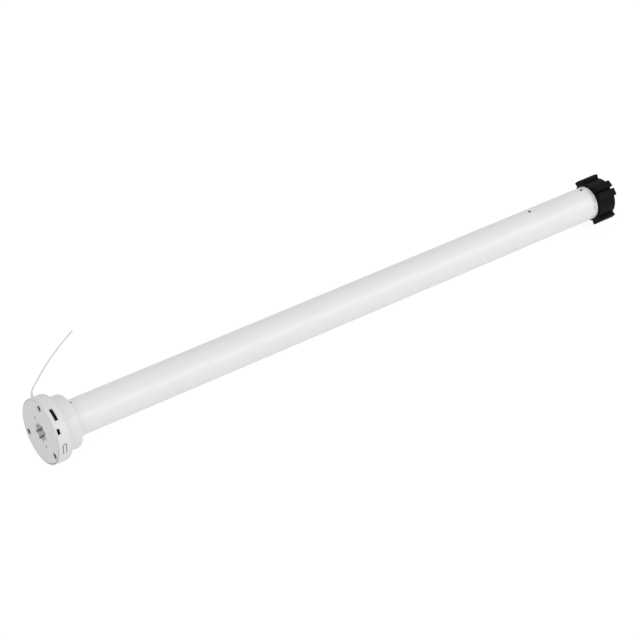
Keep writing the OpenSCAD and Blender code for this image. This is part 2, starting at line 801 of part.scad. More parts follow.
module motor_screws() color("silver") on_axis() at_motor_screws() difference() {
    union() {
        rod(motor_screw_cap, base_end - 2.2, base_end - 0.3);
        rod(motor_screw_r, can_end - 1.6, base_end - 2);
    }
    cross(2.6, 0.6, base_end - 1.2, base_end);
}

// One long internal gear serves all three stages.
module ring_gear() color("gray") on_axis() difference() {
    rod(plug_r, base_end + slip, nose_x - slip);
    translate([0, 0, base_end - cut]) rotate([0, 0, 180 * (planet_teeth - 1) / ring_teeth])
        linear_extrude(nose_x - base_end + 2 * cut)
            polygon(gear_outline(ring_teeth, tooth_radii(ring_teeth, ring_tip, ring_root), flank_play));
    for (turn = screw_turns) outward(turn, screw_rows[1])
        radial_rod(screw_shank_r + slip, screw_tip - ease, tube_r);
}

// A planet turns on its pin so that its teeth meet the gaps of the sun.
function planet_mesh(i) = planet_turns[i] * sun_teeth / planet_teeth + 180 - 180 / planet_teeth;

module planet(stage, i) color("ivory") on_axis() {
    x = stage_x[stage] + side_play;
    outward(planet_turns[i], x) translate([planet_at, 0, 0]) rotate([0, 0, planet_mesh(i)])
        spur(planet_teeth, pin_r + pin_play, 0, stage_w[stage]);
}

module carrier_disc(stage) {
    x = stage_x[stage] + 2 * side_play + stage_w[stage];
    rod(disc_r, x, x + disc_t[stage]);
    for (turn = planet_turns) outward(turn, 0) translate([planet_at, 0, 0])
        rod(pin_r, stage_x[stage] + side_play, x + cut);
}

// A carrier holds the pins of its own stage and the sun of the next.
module carrier(stage) color("silver") on_axis() {
    carrier_disc(stage);
    translate([0, 0, stage_x[stage + 1] - cut]) linear_extrude(stage_w[stage + 1] + side_play + cut)
        polygon(gear_outline(sun_teeth, tooth_radii(sun_teeth, dedendum, addendum), -flank_play));
}

// The last carrier runs on into the output shaft, which ends in two flats for the drive wheel.
module output_carrier() color("silver") on_axis() difference() {
    union() {
        carrier_disc(2);
        rod(out_r, train_end - cut, hub_end - 0.3);
    }
    for (side = [0, 180]) rotate([0, 0, side]) translate([flat_half, -out_r, wheel_x])
        cube([out_r, 2 * out_r, wheel_len]);
    rod(wheel_screw_r + slip, hub_end - 9, hub_end + cut);
}

module thrust_washer() color("darkgoldenrod") on_axis()
    pipe(washer_r, out_r + ease, train_end + gap, train_end + gap + washer_t);

// The nose closes the tube and carries the output shaft in two bushes.
module gearbox_nose() color("whitesmoke") on_axis() difference() {
    union() {
        rod(plug_r, nose_x, flange_x + flange_t / 2);
        translate([0, 0, flange_x]) rotate_extrude() polygon(concat(
            [[0, 0], [tube_r, 0]],
            arc([tube_r - nose_edge, flange_t - nose_edge], nose_edge, 0, 90),
            [[0, flange_t]]
        ));
    }
    rod(bush_r, nose_x - cut, nose_x + bush_len);
    rod(out_r + cut, nose_x, nose_end);
    rod(bush_r, nose_end - bush_len, nose_end + cut);
    for (turn = screw_turns) outward(turn, screw_rows[2])
        radial_rod(screw_shank_r + slip, screw_tip - ease, tube_r);
    for (turn = [30 : 60 : 330]) outward(turn, 0) translate([nose_core_at, 0, 0])
        rod(nose_core_r, nose_x - cut, nose_x + nose_core_len);
}

module output_bushes() color("darkgoldenrod") on_axis() {
    pipe(bush_r - slip, out_r + bush_play, nose_x, nose_x + bush_len - slip);
    pipe(bush_r - slip, out_r + bush_play, nose_end - bush_len + slip, nose_end);
}

// The wheel's ribs key into the roller tube. Two opposite ribs are split by a slot.
module drive_wheel() color([0.08, 0.08, 0.08]) on_axis() difference() {
    union() {
        rod(wheel_r, wheel_x, wheel_end);
        for (rib = ribs) sector(rib[0], rib[1], rib_r, wheel_x, wheel_end);
    }
    difference() {
        rod(wheel_r - wheel_wall, wheel_x + web_t, wheel_end + cut);
        rod(hub_r, wheel_x, hub_end);
        for (turn = [0 : 60 : 300]) outward(turn + spoke_turn, wheel_mid - 1.5)
            radial_block(hub_r - 1, wheel_r, spoke_t, wheel_len - 3);
    }
    difference() {
        rod(out_r + slip, wheel_x - cut, hub_end + cut);
        for (side = [0, 180]) rotate([0, 0, side]) translate([flat_half + slip, -hub_r, wheel_x - 2 * cut])
            cube([hub_r, 2 * hub_r, wheel_len + 2]);
    }
    for (turn = rib_slots) outward(turn, wheel_mid)
        radial_block(rib_slot_floor, rib_r + cut, rib_slot_w, wheel_len + 2 * cut);
}

module wheel_washer() color("silver") on_axis()
    pipe(wheel_washer_r, wheel_screw_r + ease, hub_end + slip, hub_end + wheel_washer_t);

module wheel_screw() color("silver") on_axis() difference() {
    cap_x = hub_end + wheel_washer_t + slip;
    union() {
        rod(wheel_screw_r, hub_end - 8, cap_x + gap);
        rod(wheel_screw_cap, cap_x, cap_x + 1.6);
    }
    cross(3.4, 0.7, cap_x + 0.7, cap_x + 2);
}

front_cover();
head_housing();
bracket_socket();
setting_button();
tact_switch();
switch_plunger();
charge_board();
usb_shell();
usb_tongue();
antenna_boot();
antenna_wire();
cover_screws();
crown();
motor_tube();
tube_screws();
battery_cradle();
battery_cell(0);  // battery_cell_1
battery_cell(1);  // battery_cell_2
battery_cell(2);  // battery_cell_3
cell_tabs();
supply_leads();
board_tray();
control_board();
board_components();
hall_sensor();
motor_leads();
motor_can();
motor_end_cap();
field_magnets();
brushes();
motor_bushes();
motor_damper();
rotor_shaft();
armature_core();
armature_windings();
commutator();
encoder_magnet();
sun_pinion();
gearbox_base();
motor_screws();
ring_gear();
planet(0, 0);  // planet_1a
planet(0, 1);  // planet_1b
planet(0, 2);  // planet_1c
carrier(0);  // carrier_1
planet(1, 0);  // planet_2a
planet(1, 1);  // planet_2b
planet(1, 2);  // planet_2c
carrier(1);  // carrier_2
planet(2, 0);  // planet_3a
planet(2, 1);  // planet_3b
planet(2, 2);  // planet_3c
output_carrier();
thrust_washer();
gearbox_nose();
output_bushes();
drive_wheel();
wheel_washer();
wheel_screw();
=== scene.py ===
"""Dresses the tubular blind motor: finishes, soft edges, screws, charging contacts, antenna and studio.

The file is laid out as an add-on: settings, one operator for each group of pieces, and one panel.
Lengths are in metres unless a name ends in _mm, and turns are in degrees from +Z toward the button's side.
The tube runs along +X from the face of the head.
"""
import json
import math

import bmesh
import bpy
from bpy.props import FloatProperty, FloatVectorProperty, IntProperty, PointerProperty
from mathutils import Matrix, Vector

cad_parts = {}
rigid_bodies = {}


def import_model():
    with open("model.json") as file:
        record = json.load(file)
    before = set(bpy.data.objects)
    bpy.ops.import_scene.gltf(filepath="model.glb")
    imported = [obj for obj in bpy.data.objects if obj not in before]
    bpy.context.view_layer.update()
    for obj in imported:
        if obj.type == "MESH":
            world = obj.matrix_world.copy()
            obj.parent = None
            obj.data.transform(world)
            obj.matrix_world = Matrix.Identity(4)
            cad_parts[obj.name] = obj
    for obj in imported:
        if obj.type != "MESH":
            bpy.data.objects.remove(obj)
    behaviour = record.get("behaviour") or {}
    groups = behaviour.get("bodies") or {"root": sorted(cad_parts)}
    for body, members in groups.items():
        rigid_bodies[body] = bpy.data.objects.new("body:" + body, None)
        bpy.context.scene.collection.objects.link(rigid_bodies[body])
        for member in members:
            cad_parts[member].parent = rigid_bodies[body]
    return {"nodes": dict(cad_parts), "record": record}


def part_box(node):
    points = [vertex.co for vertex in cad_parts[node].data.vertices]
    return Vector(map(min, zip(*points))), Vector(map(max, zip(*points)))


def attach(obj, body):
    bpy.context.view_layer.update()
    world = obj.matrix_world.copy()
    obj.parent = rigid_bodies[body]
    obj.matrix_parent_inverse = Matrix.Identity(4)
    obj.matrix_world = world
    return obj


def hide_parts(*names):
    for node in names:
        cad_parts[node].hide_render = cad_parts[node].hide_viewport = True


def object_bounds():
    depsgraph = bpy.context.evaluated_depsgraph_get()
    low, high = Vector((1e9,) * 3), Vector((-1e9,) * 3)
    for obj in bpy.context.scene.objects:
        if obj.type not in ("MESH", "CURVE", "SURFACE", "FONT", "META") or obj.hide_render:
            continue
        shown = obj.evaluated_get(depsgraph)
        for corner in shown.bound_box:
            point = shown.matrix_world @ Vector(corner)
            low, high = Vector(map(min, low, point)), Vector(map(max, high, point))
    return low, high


for startup in list(bpy.data.objects):
    bpy.data.objects.remove(startup)
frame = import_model()
cad_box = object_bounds()

bl_info = {
    "name": "Tubular blind motor",
    "version": (1, 0, 0),
    "blender": (4, 5, 0),
    "location": "View3D > Sidebar > Blind motor",
    "description": "Dresses a tubular roller blind motor with its finishes, small parts and studio",
    "category": "Object",
}

MM = 0.001
BODY = {node: body for body, nodes in frame["record"]["behaviour"]["bodies"].items() for node in nodes}
SLOT = {part["node"]: part["material_slot"] for part in frame["record"]["subparts"]}
TUBE_LOW, TUBE_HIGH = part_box("motor_tube")

# Points closer than SLIVER are merged, and facets that meet at less than FLAT are joined.
# Edges over SHARP are rounded on softened pieces and shaded crisp on grown ones.
SLIVER = 0.002 * MM
FLAT = math.radians(0.5)
SHARP = math.radians(30)

# Sizes of one wave and of one row of bricks in those textures, at a scale of 1.
WAVE_LENGTH = 0.314
BRICK_ROW = 0.25

# Route of the antenna wire as x and z in mm, in the upright plane at ANTENNA_Y.
# It leaves the boot's top upright and leans out over the tube.
ANTENNA_Y = 13.5 * MM
ANTENNA_ROUTE_MM = [
    (3.2, 21.9), (3.2, 22.4), (3.35, 23), (3.7, 23.8), (4.3, 24.8), (5.2, 26.1), (6.4, 27.8), (7.9, 29.7),
    (9.65, 32), (11.6, 34.5), (13.7, 37), (15.95, 39.5), (18.4, 42), (21.05, 44.5), (23.9, 47), (26.9, 49.5),
    (30.05, 52), (33.3, 54.5), (36, 56.5),
]


def linear(code):
    """Turn an sRGB hex colour into linear red, green and blue, with a full alpha."""
    levels = [int(code[i:i + 2], 16) / 255 for i in (1, 3, 5)]
    return [v / 12.92 if v <= 0.04045 else ((v + 0.055) / 1.055) ** 2.4 for v in levels] + [1.0]


# Settings


class FinishSettings(bpy.types.PropertyGroup):
    """Colours of the surfaces that show."""

    shell: FloatVectorProperty(
        name="Shell", description="White of the moulded head and crown", subtype="COLOR", size=4,
        min=0, max=1, default=linear("#E9E9E8"))
    tube: FloatVectorProperty(
        name="Tube", description="White of the tube's powder coat", subtype="COLOR", size=4,
        min=0, max=1, default=linear("#EFEFEF"))
    socket: FloatVectorProperty(
        name="Socket", description="Pale nylon of the bracket socket", subtype="COLOR", size=4,
        min=0, max=1, default=linear("#EDEDEC"))
    # Painted shade: a grey laid into the points of the star socket, standing in for the shadow in its deep
    # grooves.
    star_shade: FloatVectorProperty(
        name="Star shade", description="Old grease in the points of the star", subtype="COLOR", size=4,
        min=0, max=1, default=linear("#A8A8A6"))
    wheel: FloatVectorProperty(
        name="Wheel", description="Black of the drive wheel", subtype="COLOR", size=4,
        min=0, max=1, default=linear("#0E0E0F"))
    antenna: FloatVectorProperty(
        name="Antenna", description="Insulation of the antenna wire", subtype="COLOR", size=4,
        min=0, max=1, default=linear("#E2E2E0"))


class EdgeSettings(bpy.types.PropertyGroup):
    """Rounding of the moulded edges."""

    shell: FloatProperty(
        name="Shell edges", description="Edge rounding on the white mouldings",
        subtype="DISTANCE", unit="LENGTH", default=0.08 * MM)
    wheel: FloatProperty(
        name="Wheel edges", description="Edge rounding on the drive wheel",
        subtype="DISTANCE", unit="LENGTH", default=0.35 * MM)
    metal: FloatProperty(
        name="Metal edges", description="Edge rounding on the small metal pieces",
        subtype="DISTANCE", unit="LENGTH", default=0.06 * MM)


class TubeSettings(bpy.types.PropertyGroup):
    """Sizes of the drawn tube."""

    wall: FloatProperty(
        name="Wall", description="Wall thickness of the tube",
        subtype="DISTANCE", unit="LENGTH", default=0.8 * MM)
    segments: IntProperty(name="Segments", description="Faces round the tube", default=192, min=32)


class ScrewSettings(bpy.types.PropertyGroup):
    """Sizes of the cross-head screws."""

    tube_head: FloatProperty(
        name="Tube screw head", description="Head radius of the screws in the tube",
        subtype="DISTANCE", unit="LENGTH", default=1.0 * MM)
    cover_head: FloatProperty(
        name="Cover screw head", description="Head radius of the screws in the cover",
        subtype="DISTANCE", unit="LENGTH", default=1.9 * MM)


class AntennaSettings(bpy.types.PropertyGroup):
    """Sizes of the antenna wire."""

    diameter: FloatProperty(
        name="Diameter", description="Outer diameter of the wire",
        subtype="DISTANCE", unit="LENGTH", default=1.0 * MM)


class StageSettings(bpy.types.PropertyGroup):
    """Camera and light."""

    eye: FloatVectorProperty(
        name="Camera", description="Place of the camera", subtype="XYZ", unit="LENGTH",
        default=(-0.5471, -1.0347, 0.8848))
    target: FloatVectorProperty(
        name="Target", description="Point that the camera looks at", subtype="XYZ", unit="LENGTH",
        default=(0.19162, -0.04028, 0.0303))
    lens: FloatProperty(
        name="Lens", description="Focal length in millimetres on a 36 mm sensor", default=128.5)
    key: FloatProperty(name="Key", description="Power of the key lamp", subtype="POWER", default=7.8)
    fill: FloatProperty(name="Fill", description="Power of the fill lamp", subtype="POWER", default=3.5)
    ambient: FloatProperty(name="Ambient", description="Strength of the light from all round", default=0.585)


class MotorSettings(bpy.types.PropertyGroup):
    """All settings of the blind motor."""

    finish: PointerProperty(type=FinishSettings)
    edge: PointerProperty(type=EdgeSettings)
    tube: PointerProperty(type=TubeSettings)
    screw: PointerProperty(type=ScrewSettings)
    antenna: PointerProperty(type=AntennaSettings)
    stage: PointerProperty(type=StageSettings)


# Finishes


def add(tree, kind, settings=None, links=None):
    """Add a node with its settings and links.

    A setting goes to the node's property of that name, or else to its input. A link feeds an input.
    """
    node = tree.nodes.new(kind)
    for key, value in (settings or {}).items():
        if isinstance(key, str) and hasattr(node, key):
            setattr(node, key, value)
        else:
            node.inputs[key].default_value = value
    for key, socket in (links or {}).items():
        tree.links.new(socket, node.inputs[key])
    return node


def start_finish(name, constants):
    """Make a material with one principled shader.

    Returns the material, its tree, the shader and the object coordinates.
    """
    material = bpy.data.materials.new(name)
    material.use_nodes = True
    tree = material.node_tree
    tree.nodes.clear()
    shader = add(tree, "ShaderNodeBsdfPrincipled", constants)
    add(tree, "ShaderNodeOutputMaterial", links={"Surface": shader.outputs["BSDF"]})
    coords = add(tree, "ShaderNodeTexCoord")
    return material, tree, shader, coords.outputs["Object"]


def vary(tree, shader, coords, light, dark, patch_mm, rough, grain_mm, depth_mm):
    """Give a surface a slow change of colour, a change of gloss and a fine grain."""
    patches = add(tree, "ShaderNodeTexNoise", {"Scale": 1 / (patch_mm * MM), "Detail": 3.0},
                  {"Vector": coords})
    tint = add(tree, "ShaderNodeMix", {"data_type": "RGBA", 6: dark, 7: light}, {0: patches.outputs["Fac"]})
    tree.links.new(tint.outputs[2], shader.inputs["Base Color"])
    gloss = add(tree, "ShaderNodeMapRange", {"To Min": rough[0], "To Max": rough[1]},
                {"Value": patches.outputs["Fac"]})
    tree.links.new(gloss.outputs["Result"], shader.inputs["Roughness"])
    grain = add(tree, "ShaderNodeTexNoise", {"Scale": 1 / (grain_mm * MM), "Detail": 2.0}, {"Vector": coords})
    bump = add(tree, "ShaderNodeBump", {"Strength": 1.0, "Distance": depth_mm * MM},
               {"Height": grain.outputs["Fac"]})
    tree.links.new(bump.outputs["Normal"], shader.inputs["Normal"])


def grained(name, constants, light, dark, **texture):
    """A finish that only varies and has a grain."""
    material, tree, shader, coords = start_finish(name, constants)
    vary(tree, shader, coords, light, dark, **texture)
    return material


def lined(tree, shader, coords, dark, light, pitch_mm, direction):
    """Give a surface lines at a pitch, from a dark colour to a light one. Returns their height."""
    lines = add(tree, "ShaderNodeTexWave",
                {"Scale": WAVE_LENGTH / (pitch_mm * MM), "bands_direction": direction}, {"Vector": coords})
    tint = add(tree, "ShaderNodeMix", {"data_type": "RGBA", 6: dark, 7: light}, {0: lines.outputs["Fac"]})
    tree.links.new(tint.outputs[2], shader.inputs["Base Color"])
    return lines.outputs["Fac"]


def shade(colour, factor):
    """A colour made lighter or darker by a factor."""
    return [min(1.0, v * factor) for v in colour[:3]] + [1.0]


def abs_fine_spark(colour):
    """White ABS from a spark-eroded mould: an even satin with a grain that is only felt."""
    return grained("abs_white_fine_spark", {"IOR": 1.53}, shade(colour, 1.01), shade(colour, 0.975),
                   patch_mm=14, rough=(0.36, 0.46), grain_mm=0.7, depth_mm=0.006)


def powder_coat(colour):
    """White powder coat on drawn tube: satin, with the soft orange peel of a baked coat."""
    return grained("powder_coat_white", {"IOR": 1.5, "Coat Weight": 0.3, "Coat Roughness": 0.15},
                   shade(colour, 1.01), shade(colour, 0.98),
                   patch_mm=40, rough=(0.34, 0.42), grain_mm=1.6, depth_mm=0.008)


def nylon_glass_filled(name, colour):
    """Glass-filled nylon: dull and cloudy, because the fibres at its surface break up the gloss."""
    return grained(name, {"IOR": 1.53, "Specular IOR Level": 0.06}, shade(colour, 1.35), shade(colour, 0.75),
                   patch_mm=5, rough=(0.45, 0.6), grain_mm=0.5, depth_mm=0.012)


def pvc_extruded(name, colour):
    """PVC insulation as it leaves the die: smooth and slightly cloudy."""
    return grained(name, {"IOR": 1.53}, shade(colour, 1.02), shade(colour, 0.94),
                   patch_mm=6, rough=(0.38, 0.48), grain_mm=0.8, depth_mm=0.004)


def steel_black_oxide():
    """Screw steel with a black oxide: dark grey metal, oily and uneven."""
    return grained("steel_black_oxide", {"Metallic": 1.0}, linear("#2A2A2C"), linear("#161617"),
                   patch_mm=0.8, rough=(0.4, 0.55), grain_mm=0.3, depth_mm=0.006)


def steel_nickel_plated():
    """Drawn and turned steel with nickel plate: bright, with a faint grain under the plate."""
    return grained("steel_nickel_plated", {"Metallic": 1.0}, linear("#C9C8C4"), linear("#B4B3AF"),
                   patch_mm=6, rough=(0.22, 0.34), grain_mm=0.4, depth_mm=0.003)


def steel_port_shell(out, mouth):
    """Drawn shell of the charging port: a bright nickel lip at its mouth, and painted shade inside,
    near-black in place of the shadow deep in the slot.
    """
    material, tree, shader, coords = start_finish("steel_nickel_drawn_shell", {"Metallic": 1.0})
    vary(tree, shader, coords, linear("#C9C8C4"), linear("#B4B3AF"),
         patch_mm=1.5, rough=(0.28, 0.4), grain_mm=0.3, depth_mm=0.003)
    bright = shader.inputs["Base Color"].links[0].from_socket
    # Painted shade: below the lip the shell turns near-black, standing in for the shadow deep in the slot.
    shade_below, bright_above = mouth - 0.2 * MM, mouth - 0.1 * MM
    height = add(tree, "ShaderNodeVectorMath", {"operation": "DOT_PRODUCT", 1: tuple(out)}, {0: coords})
    lip = add(tree, "ShaderNodeMapRange", {"From Min": shade_below, "From Max": bright_above},
              {"Value": height.outputs["Value"]})
    shaded_slot = add(tree, "ShaderNodeMix", {"data_type": "RGBA", 6: linear("#101011")},
                {0: lip.outputs["Result"], 7: bright})
    tree.links.new(shaded_slot.outputs[2], shader.inputs["Base Color"])
    return material


def steel_laminations():
    """Stacked core sheets: steel with a dark line at each sheet, drawn 0.5 mm apart so that it shows."""
    material, tree, shader, coords = start_finish(
        "steel_laminated_core", {"Metallic": 1.0, "Roughness": 0.45})
    lined(tree, shader, coords, linear("#4A4B4E"), linear("#8C8D90"), pitch_mm=0.5, direction="X")
    return material


def ferrite_sintered():
    """Sintered ferrite: charcoal, dull and grainy."""
    return grained("ferrite_sintered", {"IOR": 1.6}, linear("#3B3B3D"), linear("#2A2A2B"),
                   patch_mm=2, rough=(0.6, 0.75), grain_mm=0.25, depth_mm=0.02)


def copper_enamelled():
    """Enamelled winding wire: copper under amber varnish, in turns drawn 0.4 mm apart."""
    material, tree, shader, coords = start_finish(
        "copper_enamelled_wire", {"Metallic": 1.0, "Roughness": 0.3})
    turns = lined(tree, shader, coords, linear("#6B3317"), linear("#C87A45"), pitch_mm=0.4, direction="Y")
    bump = add(tree, "ShaderNodeBump", {"Strength": 1.0, "Distance": 0.08 * MM}, {"Height": turns})
    tree.links.new(bump.outputs["Normal"], shader.inputs["Normal"])
    return material


def bronze_sintered():
    """Oil-soaked sintered bronze: warm, matt and finely pitted."""
    return grained("bronze_sintered", {"Metallic": 1.0}, linear("#B08A4E"), linear("#8A6836"),
                   patch_mm=1.5, rough=(0.4, 0.55), grain_mm=0.2, depth_mm=0.015)


def carbon_pressed():
    """Pressed brush carbon: grey-black with a faint metal dust."""
    return grained("carbon_pressed", {"IOR": 1.6, "Metallic": 0.2}, linear("#343230"), linear("#262422"),
                   patch_mm=0.8, rough=(0.5, 0.65), grain_mm=0.15, depth_mm=0.01)


def board_solder_mask(name, mask, track, pitch_mm=1):
    """Glass-epoxy board under solder mask, with the tracks showing through as paler strips 1 mm apart."""
    material, tree, shader, coords = start_finish(name, {"IOR": 1.55, "Roughness": 0.3})
    tracks = add(tree, "ShaderNodeTexBrick",
                 {"Scale": BRICK_ROW / (pitch_mm * MM), "Mortar Size": 0.03, "Color1": linear(mask),
                  "Color2": shade(linear(mask), 1.1), "Mortar": linear(track)}, {"Vector": coords})
    tree.links.new(tracks.outputs["Color"], shader.inputs["Base Color"])
    bump = add(tree, "ShaderNodeBump", {"Strength": 0.4, "Distance": 0.03 * MM},
               {"Height": tracks.outputs["Fac"]})
    tree.links.new(bump.outputs["Normal"], shader.inputs["Normal"])
    return material


def epoxy_moulded():
    """Moulded epoxy of chips and modules: black-grey and dull."""
    return grained("epoxy_black_moulded", {"IOR": 1.55}, linear("#2B2B2C"), linear("#202021"),
                   patch_mm=2, rough=(0.45, 0.6), grain_mm=0.2, depth_mm=0.008)


def sleeve_heat_shrunk():
    """Heat-shrunk PVC sleeve of a cell: blue and glossy, with a slight ripple."""
    return grained("pvc_blue_heat_shrunk", {"IOR": 1.53}, linear("#3F6FB0"), linear("#335F9E"),
                   patch_mm=10, rough=(0.2, 0.3), grain_mm=2.0, depth_mm=0.02)


def rubber_nitrile():
    """Nitrile rubber: black, matt and slightly dusty."""
    return grained("rubber_nitrile_black", {"IOR": 1.52}, linear("#2A2A2A"), linear("#1E1E1E"),
                   patch_mm=4, rough=(0.7, 0.85), grain_mm=0.4, depth_mm=0.015)


def zinc_die_cast():
    """Die-cast zinc: mid grey, cloudy where the casting cooled."""
    return grained("zinc_die_cast", {"Metallic": 1.0}, linear("#A3A4A8"), linear("#86878B"),
                   patch_mm=3, rough=(0.38, 0.52), grain_mm=0.4, depth_mm=0.012)


def acetal_moulded():
    """Natural acetal of the planet gears: ivory, waxy and slightly see-through at thin edges."""
    return grained("acetal_natural_moulded", {"IOR": 1.48, "Subsurface Weight": 0.1},
                   linear("#EFE9D8"), linear("#E4DCC6"),
                   patch_mm=4, rough=(0.3, 0.4), grain_mm=0.6, depth_mm=0.004)


def contact_gold():
    """Gold flash on the charging contacts: warm, bright and smooth."""
    return grained("gold_flash_contacts", {"Metallic": 1.0}, linear("#E2BE6A"), linear("#CFA851"),
                   patch_mm=0.6, rough=(0.2, 0.3), grain_mm=0.1, depth_mm=0.002)


def shade_star_points(finish, star_shade, valley_mm, point_mm, edge_mm, fade_mm, face_mm, depth_mm):
    """Copy a finish and paint shade into the star's points, standing in for the shadow in the socket's deep
    grooves.

    The painted shade deepens from the valley to the point, fades past the edge and stays behind the face.
    """
    material = finish.copy()
    material.name = finish.name + "_star_shaded"
    tree = material.node_tree
    shader = next(node for node in tree.nodes if node.type == "BSDF_PRINCIPLED")
    unshaded = shader.inputs["Base Color"].links[0].from_socket
    coords = next(node for node in tree.nodes if node.type == "TEX_COORD").outputs["Object"]
    parts = add(tree, "ShaderNodeSeparateXYZ", links={"Vector": coords})
    flat = add(tree, "ShaderNodeVectorMath", {"operation": "MULTIPLY", 1: (0, 1, 1)}, {0: coords})
    radius = add(tree, "ShaderNodeVectorMath", {"operation": "LENGTH"}, {0: flat.outputs["Vector"]})
    spans = (
        (radius.outputs["Value"], valley_mm, point_mm),
        (radius.outputs["Value"], edge_mm + fade_mm, edge_mm),
        (parts.outputs["X"], face_mm, depth_mm),
    )
    outer, inner, behind = [
        add(tree, "ShaderNodeMapRange", {"From Min": start * MM, "From Max": end * MM}, {"Value": measure})
        for measure, start, end in spans
    ]
    ring = add(tree, "ShaderNodeMath", {"operation": "MULTIPLY"},
               {0: outer.outputs["Result"], 1: inner.outputs["Result"]})
    mask = add(tree, "ShaderNodeMath", {"operation": "MULTIPLY"},
               {0: ring.outputs[0], 1: behind.outputs["Result"]})
    # Painted shade: the star's points are mixed toward the grey, in place of the shadow in the grooves.
    shaded_star = add(tree, "ShaderNodeMix", {"data_type": "RGBA", 7: star_shade}, {0: mask.outputs[0], 6: unshaded})
    tree.links.new(shaded_star.outputs[2], shader.inputs["Base Color"])
    return material


def make_finishes(colours):
    """One finish for each material slot of the part."""
    return {
        "white_plastic": abs_fine_spark(colours.shell),
        "white_paint": powder_coat(colours.tube),
        "black_nylon": nylon_glass_filled("nylon_black_glass_filled", colours.wheel),
        "grey_nylon": nylon_glass_filled("nylon_pale_glass_filled", colours.socket),
        "antenna_pvc": pvc_extruded("pvc_white_extruded", colours.antenna),
        "lead_pvc": pvc_extruded("pvc_red_extruded", linear("#A8201C")),
        "dark_steel": steel_black_oxide(),
        "bright_steel": steel_nickel_plated(),
        "core_steel": steel_laminations(),
        "ferrite": ferrite_sintered(),
        "copper": copper_enamelled(),
        "bronze": bronze_sintered(),
        "carbon": carbon_pressed(),
        "board_green": board_solder_mask("board_green_solder_mask", "#0E5A2C", "#2C8A4C"),
        "board_black": board_solder_mask("board_black_solder_mask", "#161718", "#26282A"),
        "chip_black": epoxy_moulded(),
        "cell_sleeve": sleeve_heat_shrunk(),
        "damper_rubber": rubber_nitrile(),
        "gear_zinc": zinc_die_cast(),
        "gear_acetal": acetal_moulded(),
    }


# Filled by the finishes operator, with the name of a material slot as the key
finishes = {}


# Shapes


def around(turn, radius, x):
    """A point at a turn round the tube's axis, in degrees from +Z toward the button's side."""
    a = math.radians(turn)
    return Vector((x, -radius * math.sin(a), radius * math.cos(a)))


def new_object(name, data):
    """Put a mesh, a lamp or a camera into the scene as an object at the origin."""
    thing = bpy.data.objects.new(name, data)
    bpy.context.scene.collection.objects.link(thing)
    return thing


def settle(piece, node, finish):
    """Let a piece stand for a CAD node, with that node's body and material slot."""
    piece.data.materials.clear()
    piece.data.materials.append(finish)
    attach(piece, BODY[node])
    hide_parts(node)


def plain_mesh(piece):
    """Turn what the piece's modifiers make into its own mesh, without faces that have no area."""
    graph = bpy.context.evaluated_depsgraph_get()
    piece.data = bpy.data.meshes.new_from_object(piece.evaluated_get(graph), depsgraph=graph)
    piece.modifiers.clear()
    shape = bmesh.new()
    shape.from_mesh(piece.data)
    bmesh.ops.dissolve_degenerate(shape, dist=SLIVER, edges=shape.edges)
    shape.to_mesh(piece.data)
    shape.free()
    if not piece.data.polygons:
        raise RuntimeError(f"{piece.name} came out empty")


def panel_blocks(turns, width, floor, top, start, end, steps=12):
    """Blocks that sink panels into a round skin. The floor of each follows a circle about the tube's axis."""
    shape = bmesh.new()
    half = math.degrees(math.asin(width / 2 / floor))
    for turn in turns:
        outline = [around(turn + half * (2 * i / steps - 1), floor, start) for i in range(steps + 1)]
        for sign in (1, -1):
            outline.append(around(turn, top, start) + around(turn + 90, sign * width / 2, 0))
        near = shape.faces.new([shape.verts.new(point) for point in outline])
        far = bmesh.ops.extrude_face_region(shape, geom=[near])["geom"]
        moved = [item for item in far if isinstance(item, bmesh.types.BMVert)]
        bmesh.ops.translate(shape, vec=(end - start, 0, 0), verts=moved)
    bmesh.ops.recalc_face_normals(shape, faces=shape.faces)
    mesh = bpy.data.meshes.new("panel_blocks")
    shape.to_mesh(mesh)
    shape.free()
    return mesh


def softened(node, edge, finish, segments=2, sunk=None):
    """Copy a CAD node with its sharp edges rounded, as a mould or a tumbler leaves them.

    A mesh of blocks in sunk is cut out of the copy first.
    """
    mesh = frame["nodes"][node].data.copy()
    if "custom_normal" in mesh.attributes:
        mesh.attributes.remove(mesh.attributes["custom_normal"])
    shape = bmesh.new()
    shape.from_mesh(mesh)
    bmesh.ops.remove_doubles(shape, verts=shape.verts, dist=SLIVER)
    bmesh.ops.dissolve_limit(shape, angle_limit=FLAT, verts=shape.verts, edges=shape.edges)
    for face in shape.faces:
        face.smooth = True
    for line in shape.edges:
        line.smooth = True
    shape.to_mesh(mesh)
    shape.free()
    piece = new_object(node + "_dressed", mesh)
    if sunk:
        blocks = new_object("blocks", sunk)
        sink = piece.modifiers.new("Sink", "BOOLEAN")
        sink.operation = "DIFFERENCE"
        sink.solver = "EXACT"
        sink.object = blocks
    bevel = piece.modifiers.new("Edge", "BEVEL")
    bevel.width = edge
    bevel.segments = segments
    bevel.limit_method = "ANGLE"
    bevel.angle_limit = SHARP
    bevel.use_clamp_overlap = True
    bevel.harden_normals = True
    plain_mesh(piece)
    if sunk:
        bpy.data.objects.remove(blocks)
    settle(piece, node, finish)
    return piece


def points_mesh(name, points, lines=()):
    """A mesh of loose points, with lines between them if given."""
    mesh = bpy.data.meshes.new(name)
    mesh.from_pydata([tuple(p) for p in points], list(lines), [])
    return mesh


def aimed_points(name, points, aims):
    """Loose points that each carry an aim."""
    mesh = points_mesh(name, points)
    aim = mesh.attributes.new("aim", "FLOAT_VECTOR", "POINT")
    for i, direction in enumerate(aims):
        aim.data[i].vector = direction
    return mesh


def smooth_route(points, steps):
    """Points on a smooth curve through the route's own points."""
    curve = []
    last = len(points) - 1
    for i in range(last):
        a, b = points[max(i - 1, 0)], points[i]
        c, d = points[i + 1], points[min(i + 2, last)]
        for k in range(steps):
            t = k / steps
            curve.append(0.5 * (2 * b + (c - a) * t + (2 * a - 5 * b + 4 * c - d) * t ** 2
                                + (3 * b - a - 3 * c + d) * t ** 3))
    return curve + [points[last]]


